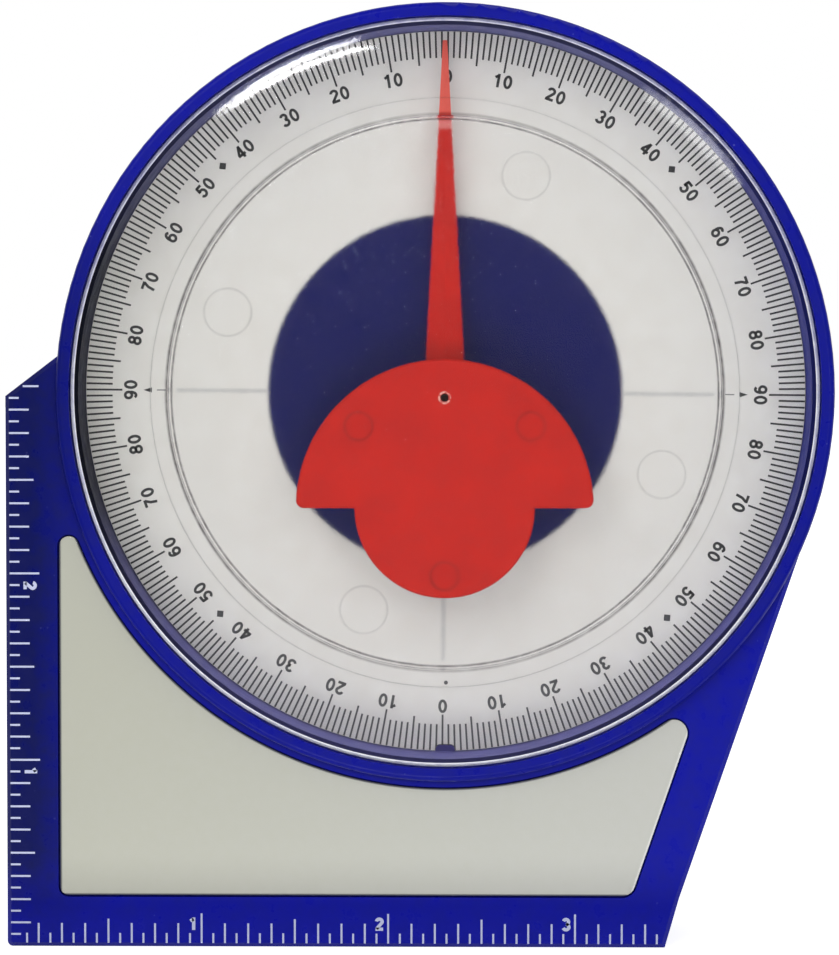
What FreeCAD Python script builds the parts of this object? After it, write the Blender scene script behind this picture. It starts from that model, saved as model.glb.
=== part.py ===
import FreeCAD, Part
import os
import re
import Sketcher
from FreeCAD import Placement, Rotation, Vector

# Dial angle finder with a magnetic base
# Frame: the dial faces -Y, +Z is up, and the origin is the middle of the box at the base.
# Heights called "front" below are measured from the middle of the box towards the dial, along -Y.
# All sizes are in millimetres and degrees.

sizes = {
    # Body, seen from the front
    "arm_beside_drum": 7.1,
    "dial_height": 75.4,
    "drum_radius": 52.5,
    "base_length": 89.55,
    "slant_angle": 19.0,
    "kink_height": 6.7,
    "arm_height": 75.0,
    "arm_slope_rise": 5.614,
    # Body, seen from the side
    "body_depth": 23.6,
    "rim_proud": 2.4,
    "edge_bevel": 0.6,
    "bevel_angle": 45.0,
    "rim_round": 0.8,
    "wall": 2.2,
    "base_block": 8.5,
    "floor_wall": 2.0,
    # Recess for the front plate
    "arm_width": 7.05,
    "base_width": 6.85,
    "slant_width": 6.0,
    "window_ledge": 1.0,
    "window_depth": 1.0,
    "left_lobe_round": 1.55,
    "right_lobe_round": 2.1,
    "left_corner_round": 1.35,
    "right_corner_round": 2.0,
    "front_plate_thickness": 0.8,
    "front_plate_gap": 0.25,
    # Lens
    "rim_width": 1.8,
    "lens_gap": 0.1,
    "lens_wall": 1.8,
    "lens_drop": 0.8,
    "lens_bevel": 0.35,
    "lens_clear_width": 13.2,
    "lens_step": 0.7,
    "lens_step_bevel": 0.5,
    "lens_back_step_width": 2.4,
    "lens_mark_radius": 3.2,
    "lens_mark_depth": 0.05,
    "lens_mark_circle": 31.2,
    "lens_mark_start": 69.5,
    "lens_mark_count": 4,
    # Dial and its seat
    "lens_seat_width": 1.1,
    "dial_gap": 0.1,
    "dial_thickness": 1.0,
    "dial_below_seat": 8.9,
    "hub_radius": 24.3,
    "hub_recess": 0.1,
    "key_width": 2.6,
    "key_reach": 0.9,
    "key_proud": 0.4,
    # Pendulum
    "pivot_drop": 0.6,
    "disc_gap": 0.5,
    "disc_thickness": 2.2,
    "disc_skin": 0.8,
    "disc_edge": 0.25,
    "wing_radius": 20.16,
    "wing_round": 1.1,
    "lobe_radius": 12.2,
    "lobe_drop": 14.95,
    "peephole_radius": 0.55,
    "peephole_bevel": 0.2,
    "disc_mark_radius": 1.9,
    "disc_mark_depth": 0.06,
    "peg_radius": 1.3,
    "peg_gap": 0.05,
    "upper_peg_spread": 11.65,
    "upper_peg_drop": 3.85,
    "lower_peg_drop": 24.15,
    "weight_inset": 1.4,
    "weight_thickness": 1.8,
    "needle_thickness": 1.5,
    "needle_edge": 0.7,
    "needle_tip_gap": 0.5,
    "needle_base": 5.7,
    "needle_tip": 0.6,
    "needle_tip_thickness": 0.9,
    "needle_bar_margin": 2.4,
    "needle_hub_radius": 4.4,
    # Pivot
    "pin_radius": 0.75,
    "pin_seat_gap": 0.02,
    "pin_running_gap": 0.03,
    "pin_end_gap": 0.3,
    "pin_tip_bevel": 0.25,
    "pin_head_radius": 1.8,
    "pin_head": 0.8,
    "bush_radius": 2.0,
    "bush_gap": 0.02,
    "bush_flange_radius": 3.0,
    "bush_flange": 0.5,
    "bush_end_gap": 0.1,
    "axial_play": 0.15,
    "washer_radius": 2.8,
    "washer_thickness": 0.4,
    "washer_gap": 0.05,
    "boss_radius": 3.2,
    "back_boss_radius": 4.5,
    "back_boss_length": 5.0,
    # Ribs behind the dial
    "rib_count": 6,
    "rib_thickness": 1.4,
    "rib_height": 3.5,
    # Rear cover and its screws
    "cover_thickness": 2.2,
    "cover_lip": 1.1,
    "cover_gap": 0.1,
    "screw_boss_radius": 3.0,
    "screw_radius": 1.4,
    "screw_gap": 0.05,
    "screw_length": 9.0,
    "screw_head_radius": 2.6,
    "screw_head": 1.2,
    "screw_head_gap": 0.2,
    "screw_slot": 0.7,
    "screw_slot_depth": 0.7,
    "drum_screw_inset": 8.0,
    "upper_screw_angle": 52.0,
    "side_screw_angle": 8.0,
    "lower_screw_height": 13.5,
    "lower_screw_inset": 7.0,
    "rear_plate_width": 62.0,
    "rear_plate_height": 42.0,
    "rear_plate_thickness": 0.4,
    "rear_plate_gap": 0.2,
    "rear_plate_round": 3.0,
    "rear_plate_drop": 4.0,
    # Base groove and magnets
    "groove_mouth": 13.0,
    "groove_floor": 2.0,
    "groove_depth": 5.5,
    "magnet_length": 36.0,
    "magnet_width": 3.0,
    "magnet_height": 5.0,
    "magnet_inset": 4.0,
    "magnet_recess": 0.15,
    "magnet_gap": 0.1,
    "keeper_thickness": 1.0,
}

doc = FreeCAD.newDocument("inclinometer")
sheet = doc.addObject("Spreadsheet::Sheet", "Sizes")
for row, (name, number) in enumerate(sizes.items(), start=1):
    sheet.set(f"A{row}", name)
    sheet.set(f"B{row}", str(number))
    sheet.setAlias(f"B{row}", name)
doc.recompute()

# Places across the front, as formulas of the sizes
left = "(-(2 * drum_radius + arm_beside_drum) / 2)"
dial_x = f"({left} + arm_beside_drum + drum_radius)"
dial_z = "dial_height"
pivot_z = "(dial_height - pivot_drop)"
disc_z = f"({pivot_z} - lobe_drop)"
base_right = f"({left} + base_length)"
base_y = "(rim_proud / 2)"
lens_radius = "(drum_radius - rim_width - lens_gap)"
lens_step_radius = f"({lens_radius} - lens_clear_width)"
lens_back_radius = f"({lens_step_radius} + lens_back_step_width)"
well_radius = f"({lens_radius} + lens_gap - lens_seat_width)"
needle_length = f"({well_radius} - pivot_drop - needle_tip_gap)"
key_round = "(0.7 * key_reach)"
corner_round = "(1.25 * edge_bevel)"
screw_circle = "(drum_radius - drum_screw_inset)"

# Heights towards the front, as formulas of the sizes
back = "(-(body_depth + rim_proud) / 2)"
face = f"({back} + body_depth)"
rim = f"({face} + rim_proud)"
lens_seat = f"({rim} - lens_drop - lens_wall)"
lens_front = f"({rim} - lens_drop)"
dial_front = f"({lens_seat} - dial_below_seat)"
well_floor = f"({dial_front} - dial_thickness)"
floor_back = f"({well_floor} - floor_wall)"
cover_front = f"({back} + cover_thickness)"
disc_front = f"({lens_seat} + lens_step - disc_gap)"
disc_back = f"({disc_front} - disc_thickness)"
weight_back = f"({disc_back} - weight_thickness)"
needle_back = f"({weight_back} - needle_thickness)"
flange_back = f"({needle_back} - bush_flange)"
washer_front = f"({flange_back} - axial_play)"
boss_front = f"({washer_front} - washer_thickness)"
bush_front = f"({disc_front} - disc_skin - bush_end_gap)"
pin_front = f"({bush_front} - pin_end_gap)"
pin_seat = f"({floor_back} - back_boss_length)"
window_floor = f"({face} - window_depth)"
keeper_top = "(magnet_recess + magnet_height + keeper_thickness)"


def sized(formula):
    """A formula with each size's name pointed at the sheet."""
    return re.sub(r"[a-z_]+", lambda word: f"Sizes.{word[0]}" if word[0] in sizes else word[0], formula)


def value(formula):
    """The number that a formula gives now."""
    return float(sheet.evalExpression(sized(formula)))


def bind(thing, name, formula):
    """Ties one property to a formula of the sizes."""
    thing.setExpression(name, sized(formula))


def new_body(label):
    body = doc.addObject("PartDesign::Body", label)
    body.Label = label
    return body


def sketch_at(body, name, role, height):
    """An empty sketch on one of the body's own planes, moved along its normal."""
    plane = next(item for item in body.Origin.OriginFeatures if item.Role == role)
    sketch = body.newObject("Sketcher::SketchObject", name)
    sketch.AttachmentSupport = [(plane, "")]
    sketch.MapMode = "FlatFace"
    bind(sketch, "AttachmentOffset.Base.z", height)
    return sketch


def front_sketch(body, name, height):
    """A sketch that is seen from the front, at a height towards the front."""
    return sketch_at(body, name, "XZ_Plane", height)


def hold(sketch, constraint, formula):
    """Adds one dimension to a sketch and ties it to a formula."""
    index = sketch.addConstraint(Sketcher.Constraint(*constraint, value(formula)))
    bind(sketch, f"Constraints[{index}]", formula)


def circle(sketch, x, z, radius):
    middle = Vector(value(x), value(z), 0)
    ring = sketch.addGeometry(Part.Circle(middle, Vector(0, 0, 1), value(radius)), False)
    hold(sketch, ("DistanceX", -1, 1, ring, 3), x)
    hold(sketch, ("DistanceY", -1, 1, ring, 3), z)
    hold(sketch, ("Radius", ring), radius)


def arc_between(start, end, middle, radius):
    """The arc from start to end, anticlockwise about the middle."""
    first = (start - middle).getAngle(Vector(1, 0, 0)) * (1 if start.y >= middle.y else -1)
    last = (end - middle).getAngle(Vector(1, 0, 0)) * (1 if end.y >= middle.y else -1)
    return Part.ArcOfCircle(Part.Circle(middle, Vector(0, 0, 1), radius), first, last)


def outline(sketch, corners, arcs=None):
    """A closed outline through the corners.

    arcs maps a side's number to (x, z, radius, turn), and turn is 1 for anticlockwise, -1 for clockwise.
    """
    arcs = arcs or {}
    points = [Vector(value(x), value(z), 0) for x, z in corners]
    count = len(points)
    starts, ends = [], []
    for side in range(count):
        here, there = points[side], points[(side + 1) % count]
        if side not in arcs:
            edge = sketch.addGeometry(Part.LineSegment(here, there), False)
            starts.append((edge, 1))
            ends.append((edge, 2))
            continue
        x, z, radius, turn = arcs[side]
        middle = Vector(value(x), value(z), 0)
        pair = (here, there) if turn > 0 else (there, here)
        edge = sketch.addGeometry(arc_between(*pair, middle, value(radius)), False)
        starts.append((edge, 1 if turn > 0 else 2))
        ends.append((edge, 2 if turn > 0 else 1))
        chord = there - here
        flat = abs(chord.x) > abs(chord.y)
        hold(sketch, ("DistanceY" if flat else "DistanceX", -1, 1, edge, 3), z if flat else x)
    for side in range(count):
        sketch.addConstraint(Sketcher.Constraint("Coincident", *ends[side - 1], *starts[side]))
        x, z = corners[side]
        hold(sketch, ("DistanceX", -1, 1, *starts[side]), x)
        hold(sketch, ("DistanceY", -1, 1, *starts[side]), z)


def box_outline(sketch, low_x, high_x, low_z, high_z):
    outline(sketch, [(low_x, low_z), (high_x, low_z), (high_x, high_z), (low_x, high_z)])


def grow(body, sketch, length, turned=False):
    """A pad from a sketch, along its normal, or against it where turned."""
    pad = body.newObject("PartDesign::Pad", f"{sketch.Name}_pad")
    pad.Profile = sketch
    bind(pad, "Length", length)
    pad.Reversed = turned
    body.Tip = pad
    return pad


def cut(body, sketch, length, turned=False):
    """A pocket against the sketch's normal, or along it where turned, which has to take material away."""
    doc.recompute()
    before = body.Shape.Volume
    pocket = body.newObject("PartDesign::Pocket", f"{sketch.Name}_pocket")
    pocket.Profile = sketch
    bind(pocket, "Length", length)
    pocket.Reversed = turned
    body.Tip = pocket
    doc.recompute()
    if body.Shape.Volume >= before:
        raise RuntimeError(f"{pocket.Label} takes nothing away")
    return pocket


def edges_where(feature, test):
    """The names of a feature's edges that pass a test."""
    doc.recompute()
    return [f"Edge{i}" for i, edge in enumerate(feature.Shape.Edges, start=1) if test(edge)]


def soften(body, kind, feature, test, name, formula):
    """A fillet or chamfer on the edges that pass a test."""
    names = edges_where(feature, test)
    if not names:
        raise RuntimeError(f"{body.Label} has no edge for {kind}")
    edge_work = body.newObject(f"PartDesign::{kind}", f"{body.Label}_{kind.lower()}")
    edge_work.Base = (feature, names)
    bind(edge_work, name, formula)
    body.Tip = edge_work
    doc.recompute()
    return edge_work


def near(first, second):
    return abs(first - second) < 1e-3


def is_ring(height, radius):
    """A test for a full circle of one radius at one height towards the front."""
    def test(edge):
        if not isinstance(edge.Curve, Part.Circle):
            return False
        return near(edge.Curve.Radius, value(radius)) and near(edge.Curve.Center.y, -value(height))
    return test


def is_depth_edge(x, z, low, high):
    """A test for a straight edge along Y through one point of the front, between two heights."""
    def test(edge):
        box = edge.BoundBox
        along = near(box.XMin, value(x)) and near(box.ZMin, value(z)) and box.XLength + box.ZLength < 1e-3
        return along and near(-box.YMax, value(low)) and near(-box.YMin, value(high))
    return test


# Outlines that more than one piece follows


def slant_point(distance, height):
    """Where a line beside the slanted edge, this far from the dial's middle, passes a height."""
    return f"({dial_x} + ({distance} - ({dial_z} - {height}) * sin(slant_angle)) / cos(slant_angle))"


def slant_touch(radius):
    """Where the line beside the slanted edge touches a circle about the dial's middle."""
    return f"({dial_x} + {radius} * cos(slant_angle))", f"({dial_z} - {radius} * sin(slant_angle))"


def body_outline(sketch):
    touch = slant_touch("drum_radius")
    meet_z = "(arm_height + arm_slope_rise)"
    meet_x = f"({dial_x} - sqrt(drum_radius^2 - ({meet_z} - {dial_z})^2))"
    round_x = f"({left} + {corner_round})"
    corners = [
        (round_x, "0"),
        (base_right, "0"),
        (slant_point("drum_radius", "kink_height"), "kink_height"),
        touch,
        (meet_x, meet_z),
        (left, "arm_height"),
        (left, corner_round),
    ]
    drum_arc = (dial_x, dial_z, "drum_radius", 1)
    corner_arc = (round_x, corner_round, corner_round, 1)
    outline(sketch, corners, {3: drum_arc, 6: corner_arc})


def inner_outline(sketch, inset, bottom):
    """The body's outline drawn in by one inset, and closed at the bottom above the base block."""
    radius = f"(drum_radius - {inset})"
    top = f"(arm_height - {inset})"
    meet_x = f"({dial_x} - sqrt({radius}^2 - ({top} - {dial_z})^2))"
    side = f"({left} + {inset})"
    corners = [
        (side, bottom),
        (slant_point(radius, bottom), bottom),
        slant_touch(radius),
        (meet_x, top),
        (side, top),
    ]
    outline(sketch, corners, {2: (dial_x, dial_z, radius, 1)})


def window_corners(gap):
    """The corners of the front plate's recess, drawn in by a gap: bottom left, bottom right, right, left."""
    side = f"({left} + arm_width + {gap})"
    bottom = f"(base_width + {gap})"
    reach = f"(drum_radius - slant_width - {gap})"
    radius = f"(drum_radius + window_ledge + {gap})"
    along = f"sqrt({radius}^2 - {reach}^2)"
    right_x = f"({dial_x} + {reach} * cos(slant_angle) - {along} * sin(slant_angle))"
    right_z = f"({dial_z} - {reach} * sin(slant_angle) - {along} * cos(slant_angle))"
    left_z = f"({dial_z} - sqrt({radius}^2 - ({side} - {dial_x})^2))"
    return [(side, bottom), (slant_point(reach, bottom), bottom), (right_x, right_z), (side, left_z)]


def window_outline(sketch, gap):
    radius = f"(drum_radius + window_ledge + {gap})"
    outline(sketch, window_corners(gap), {2: (dial_x, dial_z, radius, -1)})


def round_window(body, feature, gap, low, high):
    """Rounds the four corners of the recess, or of the plate in it."""
    rounds = ["left_corner_round", "right_corner_round", "right_lobe_round", "left_lobe_round"]
    for corner, size in zip(window_corners(gap), rounds):
        test = is_depth_edge(*corner, low, high)
        feature = soften(body, "Fillet", feature, test, "Radius", f"({size} - {gap})")
    return feature


def pendulum_outline(sketch, inset):
    """The wide half disc over the smaller lobe, drawn in by an inset."""
    wing = f"(wing_radius - {inset})"
    lobe = f"(lobe_radius - {inset})"
    shelf = f"({disc_z} + {inset})"
    reach = f"sqrt({wing}^2 - {inset}^2)"
    notch = f"sqrt({lobe}^2 - {inset}^2)"
    corners = [
        (f"({dial_x} + {reach})", shelf),
        (f"({dial_x} - {reach})", shelf),
        (f"({dial_x} - {notch})", shelf),
        (f"({dial_x} + {notch})", shelf),
    ]
    outline(sketch, corners, {0: (dial_x, disc_z, wing, 1), 2: (dial_x, disc_z, lobe, 1)})


def peg_places():
    upper = f"({pivot_z} - upper_peg_drop)"
    return [
        (f"({dial_x} - upper_peg_spread)", upper),
        (f"({dial_x} + upper_peg_spread)", upper),
        (dial_x, f"({pivot_z} - lower_peg_drop)"),
    ]


def screw_places():
    """The rear screws: three round the drum and two above the base."""
    places = []
    for angle in ["upper_screw_angle", "(180 - upper_screw_angle)", "(-side_screw_angle)"]:
        x = f"({dial_x} + {screw_circle} * cos({angle}))"
        places.append((x, f"({dial_z} + {screw_circle} * sin({angle}))"))
    places.append((f"({left} + lower_screw_inset)", "lower_screw_height"))
    right = slant_point("drum_radius", "lower_screw_height")
    places.append((f"({right} - lower_screw_inset)", "lower_screw_height"))
    return places


def magnet_places():
    """Each magnet's name, its lowest X and the middle of its width along Y."""
    outer = "(body_depth / 2 + groove_mouth / 2) / 2"
    lows = {"left": f"({left} + magnet_inset)", "right": f"({base_right} - magnet_inset - magnet_length)"}
    rows = {"front": f"({base_y} - {outer})", "rear": f"({base_y} + {outer})"}
    return [(f"{row}_{side}", lows[side], rows[row]) for row in rows for side in lows]


# The pieces


def make_housing():
    body = new_body("housing")
    slab = front_sketch(body, "slab", back)
    body_outline(slab)
    grow(body, slab, "body_depth - edge_bevel")
    bevel = front_sketch(body, "bevel", f"{face} - edge_bevel")
    body_outline(bevel)
    layer = grow(body, bevel, "edge_bevel")
    bind(layer, "TaperAngle", "-bevel_angle")
    hollow = front_sketch(body, "hollow", back)
    inner_outline(hollow, "wall", "base_block")
    cut(body, hollow, f"{window_floor} - wall - {back}", turned=True)
    rebate = front_sketch(body, "rebate", back)
    inner_outline(rebate, "cover_lip", "(base_block - cover_lip)")
    cut(body, rebate, "cover_thickness", turned=True)
    drum = front_sketch(body, "drum", floor_back)
    circle(drum, dial_x, dial_z, f"({well_radius} + wall)")
    grow(body, drum, f"{face} - edge_bevel - {floor_back}")
    ring = front_sketch(body, "ring", f"{face} - edge_bevel")
    circle(ring, dial_x, dial_z, "drum_radius")
    grow(body, ring, "rim_proud + edge_bevel")
    posts = front_sketch(body, "posts", cover_front)
    for x, z in screw_places():
        circle(posts, x, z, "screw_boss_radius")
    grow(body, posts, f"{window_floor} - wall / 2 - {cover_front}")
    well = front_sketch(body, "well", rim)
    circle(well, dial_x, dial_z, well_radius)
    cut(body, well, f"{rim} - {well_floor}")
    seat = front_sketch(body, "seat", rim)
    circle(seat, dial_x, dial_z, f"({lens_radius} + lens_gap)")
    cut(body, seat, "lens_drop + lens_wall")
    add_well_details(body)
    add_bosses_and_ribs(body)
    cut_window(body)
    cut_base(body)
    soften(body, "Fillet", body.Tip, is_ring(rim, "drum_radius"), "Radius", "rim_round")
    return body


def round_key(body, feature, half, high, front, radius):
    """Round both upper corners of the key, or of the notch that it fills."""
    for way in ["-", "+"]:
        test = is_depth_edge(f"({dial_x} {way} {half})", high, well_floor, front)
        feature = soften(body, "Fillet", feature, test, "Radius", radius)


def add_well_details(body):
    """The blue hub in the dial's hole, the pin's boss on it, and the key at the bottom."""
    hub = front_sketch(body, "hub", well_floor)
    circle(hub, dial_x, dial_z, "hub_radius")
    grow(body, hub, "dial_thickness - hub_recess")
    boss = front_sketch(body, "boss", well_floor)
    circle(boss, dial_x, pivot_z, "boss_radius")
    grow(body, boss, f"{boss_front} - {well_floor}")
    key = front_sketch(body, "key", well_floor)
    low = f"({dial_z} - {well_radius} - wall / 2)"
    high = f"({dial_z} - {well_radius} + key_reach)"
    box_outline(key, f"({dial_x} - key_width / 2)", f"({dial_x} + key_width / 2)", low, high)
    feature = grow(body, key, "dial_thickness + key_proud")
    round_key(body, feature, "key_width / 2", high, f"{dial_front} + key_proud", key_round)


def add_bosses_and_ribs(body):
    """What stands on the back of the floor, with the holes for the pin and the screws."""
    rib = front_sketch(body, "rib", floor_back)
    bind(rib, "AttachmentOffset.Base.x", dial_x)
    bind(rib, "AttachmentOffset.Base.y", dial_z)
    box_outline(rib, "0", well_radius, "(-rib_thickness / 2)", "rib_thickness / 2")
    rib_pad = grow(body, rib, "rib_height", turned=True)
    doc.recompute()
    pattern = body.newObject("PartDesign::PolarPattern", "ribs")
    pattern.Originals = [rib_pad]
    pattern.Axis = (rib, ["N_Axis"])
    pattern.Angle = 360
    bind(pattern, "Occurrences", "rib_count")
    body.Tip = pattern
    doc.recompute()
    rear_boss = front_sketch(body, "rear_boss", floor_back)
    circle(rear_boss, dial_x, pivot_z, "back_boss_radius")
    grow(body, rear_boss, "back_boss_length", turned=True)
    pilots = front_sketch(body, "pilots", cover_front)
    for x, z in screw_places():
        circle(pilots, x, z, "(screw_radius + screw_gap)")
    cut(body, pilots, "screw_length - cover_thickness + screw_gap", turned=True)
    bore = front_sketch(body, "bore", boss_front)
    circle(bore, dial_x, pivot_z, "(pin_radius + pin_seat_gap)")
    cut(body, bore, f"{boss_front} - {pin_seat}")


def cut_window(body):
    window = front_sketch(body, "window", face)
    window_outline(window, "0")
    feature = cut(body, window, "window_depth")
    round_window(body, feature, "0", window_floor, face)


def cut_base(body):
    """The groove that sits on a pipe, and the magnets' pockets beside it."""
    groove = sketch_at(body, "groove", "YZ_Plane", f"{left} - wall")
    corners = [
        (f"({base_y} - groove_mouth / 2)", "0"),
        (f"({base_y} + groove_mouth / 2)", "0"),
        (f"({base_y} + groove_floor / 2)", "groove_depth"),
        (f"({base_y} - groove_floor / 2)", "groove_depth"),
    ]
    outline(groove, corners)
    cut(body, groove, "base_length + 3 * wall", turned=True)
    pockets = sketch_at(body, "pockets", "XY_Plane", "0")
    for name, low, row in magnet_places():
        side = "(magnet_width / 2 + magnet_gap)"
        high = f"({low} + magnet_length + magnet_gap)"
        box_outline(pockets, f"({low} - magnet_gap)", high, f"({row} - {side})", f"({row} + {side})")
    cut(body, pockets, keeper_top, turned=True)


def make_front_plate():
    body = new_body("front_plate")
    plate = front_sketch(body, "plate", window_floor)
    window_outline(plate, "front_plate_gap")
    feature = grow(body, plate, "front_plate_thickness")
    high = f"({window_floor} + front_plate_thickness)"
    round_window(body, feature, "front_plate_gap", window_floor, high)
    return body


def make_lens():
    """A clear wall with a raised middle: the step shows in front at one radius and behind at a wider one."""
    body = new_body("lens")
    wide = front_sketch(body, "lens_wide", lens_seat)
    circle(wide, dial_x, dial_z, lens_radius)
    grow(body, wide, "lens_wall")
    raised = front_sketch(body, "lens_raised", lens_front)
    circle(raised, dial_x, dial_z, lens_step_radius)
    grow(body, raised, "lens_step")
    relief = front_sketch(body, "lens_relief", lens_seat)
    circle(relief, dial_x, dial_z, lens_back_radius)
    feature = cut(body, relief, "lens_step", turned=True)
    feature = soften(body, "Chamfer", feature, is_ring(lens_front, lens_radius), "Size", "lens_bevel")
    top = f"({lens_front} + lens_step)"
    soften(body, "Chamfer", feature, is_ring(top, lens_step_radius), "Size", "lens_step_bevel")
    marks = front_sketch(body, "lens_marks", f"{lens_seat} + lens_step")
    for number in range(sizes["lens_mark_count"]):
        angle = f"(lens_mark_start + {number} * 360 / lens_mark_count)"
        x = f"({dial_x} + lens_mark_circle * cos({angle}))"
        circle(marks, x, f"({dial_z} + lens_mark_circle * sin({angle}))", "lens_mark_radius")
    cut(body, marks, "lens_mark_depth", turned=True)
    return body


def make_dial_plate():
    body = new_body("dial_plate")
    ring = front_sketch(body, "dial_ring", well_floor)
    circle(ring, dial_x, dial_z, f"({well_radius} - dial_gap)")
    circle(ring, dial_x, dial_z, "(hub_radius + dial_gap)")
    grow(body, ring, "dial_thickness")
    notch = front_sketch(body, "dial_notch", dial_front)
    half = "(key_width / 2 + dial_gap)"
    low = f"({dial_z} - {well_radius} - wall)"
    high = f"({dial_z} - {well_radius} + key_reach + dial_gap)"
    box_outline(notch, f"({dial_x} - {half})", f"({dial_x} + {half})", low, high)
    feature = cut(body, notch, "dial_thickness")
    round_key(body, feature, half, high, dial_front, f"({key_round} + dial_gap)")
    return body


def make_pendulum_disc():
    """The red front piece, with the bush's socket and three pegs on its back."""
    body = new_body("pendulum_disc")
    front = front_sketch(body, "disc_front", disc_back)
    pendulum_outline(front, "0")
    feature = grow(body, front, "disc_thickness")
    for way in ["-", "+"]:
        test = is_depth_edge(f"({dial_x} {way} wing_radius)", disc_z, disc_back, disc_front)
        feature = soften(body, "Fillet", feature, test, "Radius", "wing_round")
    face_edges = [f"Edge{i}" for i, edge in enumerate(feature.Shape.Edges, start=1)
                  if near(edge.BoundBox.YMax, -value(disc_front))]
    rim_edge = body.newObject("PartDesign::Chamfer", "disc_edge_bevel")
    rim_edge.Base = (feature, face_edges)
    bind(rim_edge, "Size", "disc_edge")
    body.Tip = rim_edge
    pegs = front_sketch(body, "disc_pegs", disc_back)
    for x, z in peg_places():
        circle(pegs, x, z, "peg_radius")
    grow(body, pegs, "weight_thickness + needle_thickness", turned=True)
    socket = front_sketch(body, "disc_socket", disc_back)
    circle(socket, dial_x, pivot_z, "(bush_radius + bush_gap)")
    cut(body, socket, "disc_thickness - disc_skin", turned=True)
    marks = front_sketch(body, "disc_marks", disc_front)
    for x, z in peg_places():
        circle(marks, x, z, "disc_mark_radius")
    cut(body, marks, "disc_mark_depth")
    peephole = front_sketch(body, "disc_peephole", disc_front)
    circle(peephole, dial_x, pivot_z, "peephole_radius")
    feature = cut(body, peephole, "disc_thickness")
    soften(body, "Chamfer", feature, is_ring(disc_front, "peephole_radius"), "Size", "peephole_bevel")
    return body


def cut_stack_holes(body, low, length, pegs):
    """Holes for the bush and the pegs through one layer of the pendulum."""
    holes = front_sketch(body, f"{body.Label}_holes", low)
    circle(holes, dial_x, pivot_z, "(bush_radius + bush_gap)")
    for x, z in pegs:
        circle(holes, x, z, "(peg_radius + peg_gap)")
    cut(body, holes, length, turned=True)


def make_counterweight():
    body = new_body("counterweight")
    plate = front_sketch(body, "weight_plate", weight_back)
    pendulum_outline(plate, "weight_inset")
    grow(body, plate, "weight_thickness")
    cut_stack_holes(body, weight_back, "weight_thickness", peg_places())
    return body


def blade_section(body, name, height, width, thickness):
    """One section of the needle, flat behind and ridged in front, at a height up the needle."""
    section = sketch_at(body, name, "XY_Plane", height)
    low, edge = f"(-{needle_back})", f"(-{needle_back} - needle_edge)"
    corners = [
        (f"({dial_x} - {width} / 2)", low),
        (f"({dial_x} - {width} / 2)", edge),
        (dial_x, f"(-{needle_back} - {thickness})"),
        (f"({dial_x} + {width} / 2)", edge),
        (f"({dial_x} + {width} / 2)", low),
    ]
    outline(section, corners)
    return section


def make_needle():
    body = new_body("needle")
    hub = front_sketch(body, "needle_hub", needle_back)
    circle(hub, dial_x, pivot_z, "needle_hub_radius")
    grow(body, hub, "needle_thickness")
    bar = front_sketch(body, "needle_bar", needle_back)
    reach = "(upper_peg_spread + needle_bar_margin)"
    middle = f"({pivot_z} - upper_peg_drop)"
    low, high = f"({middle} - needle_bar_margin)", f"({middle} + needle_bar_margin)"
    box_outline(bar, f"({dial_x} - {reach})", f"({dial_x} + {reach})", low, high)
    grow(body, bar, "needle_thickness")
    base = blade_section(body, "needle_root", pivot_z, "needle_base", "needle_thickness")
    top = f"{pivot_z} + {needle_length}"
    tip = blade_section(body, "needle_end", top, "needle_tip", "needle_tip_thickness")
    blade = body.newObject("PartDesign::AdditiveLoft", "blade")
    blade.Profile = base
    blade.Sections = [(tip, [""])]
    blade.Ruled = True
    body.Tip = blade
    cut_stack_holes(body, needle_back, "needle_thickness", peg_places()[:2])
    return body


def make_pivot_bush():
    body = new_body("pivot_bush")
    flange = front_sketch(body, "bush_flange_ring", flange_back)
    circle(flange, dial_x, pivot_z, "bush_flange_radius")
    grow(body, flange, "bush_flange")
    barrel = front_sketch(body, "bush_barrel", flange_back)
    circle(barrel, dial_x, pivot_z, "bush_radius")
    grow(body, barrel, f"{bush_front} - {flange_back}")
    bore = front_sketch(body, "bush_bore", flange_back)
    circle(bore, dial_x, pivot_z, "(pin_radius + pin_running_gap)")
    cut(body, bore, f"{bush_front} - {flange_back}", turned=True)
    return body


def make_pivot_pin():
    body = new_body("pivot_pin")
    head = front_sketch(body, "pin_head_disc", pin_seat)
    circle(head, dial_x, pivot_z, "pin_head_radius")
    grow(body, head, "pin_head", turned=True)
    shank = front_sketch(body, "pin_shank", pin_seat)
    circle(shank, dial_x, pivot_z, "pin_radius")
    feature = grow(body, shank, f"{pin_front} - {pin_seat}")
    soften(body, "Chamfer", feature, is_ring(pin_front, "pin_radius"), "Size", "pin_tip_bevel")
    return body


def make_thrust_washer():
    body = new_body("thrust_washer")
    ring = front_sketch(body, "washer_ring", boss_front)
    circle(ring, dial_x, pivot_z, "washer_radius")
    circle(ring, dial_x, pivot_z, "(pin_radius + washer_gap)")
    grow(body, ring, "washer_thickness")
    return body


def rear_plate_outline(sketch, gap):
    middle = f"({dial_z} - rear_plate_drop)"
    half_width = f"(rear_plate_width / 2 + {gap})"
    half_height = f"(rear_plate_height / 2 + {gap})"
    box_outline(sketch, f"({dial_x} - {half_width})", f"({dial_x} + {half_width})",
                f"({middle} - {half_height})", f"({middle} + {half_height})")
    return [(f"({dial_x} {across} {half_width})", f"({middle} {up} {half_height})")
            for across in "-+" for up in "-+"]


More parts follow.
